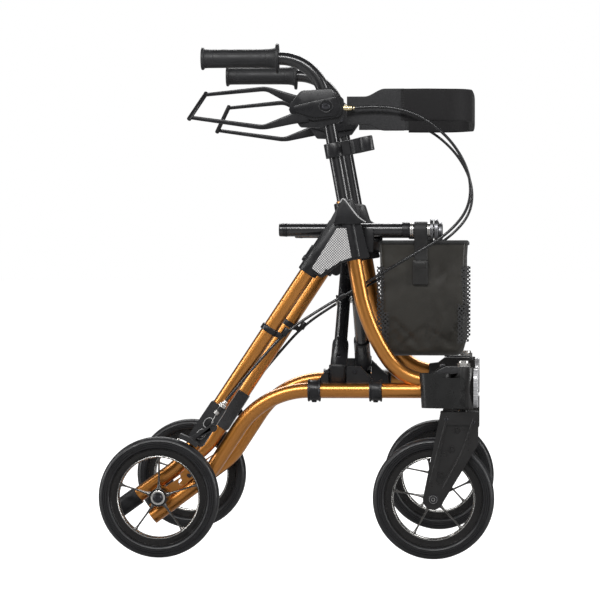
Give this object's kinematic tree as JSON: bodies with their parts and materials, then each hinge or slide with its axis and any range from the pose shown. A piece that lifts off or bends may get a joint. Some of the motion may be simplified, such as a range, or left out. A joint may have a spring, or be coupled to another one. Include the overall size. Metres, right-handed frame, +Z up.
{
  "type": "rollator walker",
  "caption": "Cross-folding four-wheeled walking frame with arched gold tubes, loop brake levers, back strap, front bag and cane holder.",
  "frame": {"origin": "on the floor at the centre of the bounding box, midway between the sides and the axles", "axes": "+X forward, +Y to the user's left, +Z up"},
  "size_m": [0.6536, 0.618, 0.8495],
  "materials": {
    "gold_tube": "gold-bronze metallic, satin gloss",
    "black_tube": "black anodised, semi-gloss",
    "black_plastic": "fine-grained black glass-filled nylon",
    "grip_rubber": "matte black moulded rubber",
    "black_rubber": "matte black rubber",
    "shoe_rubber": "hard black rubber and plastic",
    "tyre": "dark grey soft polyurethane",
    "rim": "black, slightly glossy",
    "steel": "zinc-plated",
    "reflective_panel": "pale grey prismatic reflective sheet",
    "reflector": "clear prismatic reflector",
    "cable": "black cable casing",
    "seat_fabric": "woven black nylon",
    "bag_fabric": "black coated nylon with mesh edges",
    "strap_foam": "black felted foam webbing"
  },
  "bodies": {
    "right_frame": {"right_rear_leg": "gold_tube", "right_lower_tube": "gold_tube", "right_front_tube": "gold_tube", "right_axle_plate": "gold_tube", "right_tip_cap": "black_rubber", "right_side_joint": "black_plastic", "right_side_panel": "reflective_panel", "right_hinge_bracket": "black_plastic", "right_caster_housing": "black_plastic", "right_front_reflector": "reflector", "right_rear_axle": "steel", "right_brake_carrier": "black_plastic", "right_brake_cable": "cable", "cane_cup": "black_plastic"},
    "right_post": {"right_handle_post": "black_tube", "right_grip": "grip_rubber", "right_brake_housing": "black_plastic", "cane_clip": "black_plastic", "back_strap": "strap_foam"},
    "right_lever": {"right_brake_lever": "black_plastic"},
    "right_shoe": {"right_brake_shoe": "shoe_rubber"},
    "right_caster": {"right_fork": "black_plastic", "right_caster_hardware": "steel"},
    "right_front_wheel": {"right_front_tyre": "tyre", "right_front_rim": "rim"},
    "right_rear_wheel": {"right_rear_tyre": "tyre", "right_rear_rim": "rim", "right_rear_bearings": "steel"},
    "right_strut": {"right_cross_strut": "black_tube", "centre_pin": "steel"},
    "right_seat_bar": {"right_seat_bar": "black_tube", "seat_sling": "seat_fabric", "front_bag": "bag_fabric"},
    "left_frame": {"left_rear_leg": "gold_tube", "left_lower_tube": "gold_tube", "left_front_tube": "gold_tube", "left_axle_plate": "gold_tube", "left_tip_cap": "black_rubber", "left_side_joint": "black_plastic", "left_side_panel": "reflective_panel", "left_hinge_bracket": "black_plastic", "left_caster_housing": "black_plastic", "left_front_reflector": "reflector", "left_rear_axle": "steel", "left_brake_carrier": "black_plastic", "left_brake_cable": "cable"},
    "left_post": {"left_handle_post": "black_tube", "left_grip": "grip_rubber", "left_brake_housing": "black_plastic"},
    "left_lever": {"left_brake_lever": "black_plastic"},
    "left_shoe": {"left_brake_shoe": "shoe_rubber"},
    "left_caster": {"left_fork": "black_plastic", "left_caster_hardware": "steel"},
    "left_front_wheel": {"left_front_tyre": "tyre", "left_front_rim": "rim"},
    "left_rear_wheel": {"left_rear_tyre": "tyre", "left_rear_rim": "rim", "left_rear_bearings": "steel"},
    "left_strut": {"left_cross_strut": "black_tube"},
    "left_seat_bar": {"left_seat_bar": "black_tube"}
  },
  "joints": [
    {"name": "fold", "type": "hinge", "parent": "right_frame", "child": "right_strut", "pos_m": [0.06625, -0.208, 0.302], "axis": [1, 0, 0], "range_deg": [0, 50.4], "deforming": ["seat_sling", "front_bag", "back_strap"]},
    {"name": "cross_pivot", "type": "hinge", "parent": "right_strut", "child": "left_strut", "pos_m": [0.07875, 0, 0.422], "axis": [1, 0, 0], "range_deg": [-100.8, 0]},
    {"name": "left_frame_pivot", "type": "hinge", "parent": "left_strut", "child": "left_frame", "pos_m": [0.09125, 0.208, 0.302], "axis": [1, 0, 0], "range_deg": [0, 50.4]},
    {"name": "right_seat_bar_pivot", "type": "hinge", "parent": "left_strut", "child": "right_seat_bar", "pos_m": [0.09125, -0.208, 0.542], "axis": [1, 0, 0], "range_deg": [0, 50.4]},
    {"name": "left_seat_bar_pivot", "type": "hinge", "parent": "right_strut", "child": "left_seat_bar", "pos_m": [0.06625, 0.208, 0.542], "axis": [1, 0, 0], "range_deg": [-50.4, 0]},
    {"name": "right_post_height", "type": "slide", "parent": "right_frame", "child": "right_post", "axis": [-0.1788, 0, 0.9839], "range_m": [0, 0.12], "deforming": ["right_brake_cable"]},
    {"name": "right_brake", "type": "hinge", "parent": "right_post", "child": "right_lever", "pos_m": [0.04863, -0.243, 0.7455], "axis": [0, 1, 0], "range_deg": [0, 8], "stiffness_Nm_per_rad": 1.2, "springref_deg": -14.32},
    {"name": "right_shoe_swing", "type": "hinge", "parent": "right_frame", "child": "right_shoe", "pos_m": [-0.13875, -0.2645, 0.214], "axis": [0, -1, 0], "range_deg": [0, 4.4]},
    {"name": "right_caster_swivel", "type": "hinge", "parent": "right_frame", "child": "right_caster", "pos_m": [0.27625, -0.28, 0.28], "axis": [0, 0, 1], "continuous": true},
    {"name": "right_front_wheel_spin", "type": "hinge", "parent": "right_caster", "child": "right_front_wheel", "pos_m": [0.22675, -0.28, 0.1], "axis": [0, 1, 0], "continuous": true},
    {"name": "right_rear_wheel_spin", "type": "hinge", "parent": "right_frame", "child": "right_rear_wheel", "pos_m": [-0.22675, -0.28, 0.1], "axis": [0, 1, 0], "continuous": true},
    {"name": "left_post_height", "type": "slide", "parent": "left_frame", "child": "left_post", "axis": [-0.1788, 0, 0.9839], "range_m": [0, 0.12], "deforming": ["left_brake_cable"]},
    {"name": "left_brake", "type": "hinge", "parent": "left_post", "child": "left_lever", "pos_m": [0.04863, 0.243, 0.7455], "axis": [0, 1, 0], "range_deg": [0, 8], "stiffness_Nm_per_rad": 1.2, "springref_deg": -14.32},
    {"name": "left_shoe_swing", "type": "hinge", "parent": "left_frame", "child": "left_shoe", "pos_m": [-0.13875, 0.2645, 0.214], "axis": [0, -1, 0], "range_deg": [0, 4.4]},
    {"name": "left_caster_swivel", "type": "hinge", "parent": "left_frame", "child": "left_caster", "pos_m": [0.27625, 0.28, 0.28], "axis": [0, 0, 1], "continuous": true},
    {"name": "left_front_wheel_spin", "type": "hinge", "parent": "left_caster", "child": "left_front_wheel", "pos_m": [0.22675, 0.28, 0.1], "axis": [0, 1, 0], "continuous": true},
    {"name": "left_rear_wheel_spin", "type": "hinge", "parent": "left_frame", "child": "left_rear_wheel", "pos_m": [-0.22675, 0.28, 0.1], "axis": [0, 1, 0], "continuous": true}
  ],
  "couplings": [
    {"joint": "cross_pivot", "follows": "fold", "ratio": -2},
    {"joint": "left_frame_pivot", "follows": "fold", "ratio": 1},
    {"joint": "right_seat_bar_pivot", "follows": "fold", "ratio": 1},
    {"joint": "left_seat_bar_pivot", "follows": "fold", "ratio": -1},
    {"joint": "left_post_height", "follows": "right_post_height", "ratio": 1},
    {"joint": "right_shoe_swing", "follows": "right_brake", "ratio": 0.55},
    {"joint": "left_shoe_swing", "follows": "left_brake", "ratio": 0.55}
  ]
}
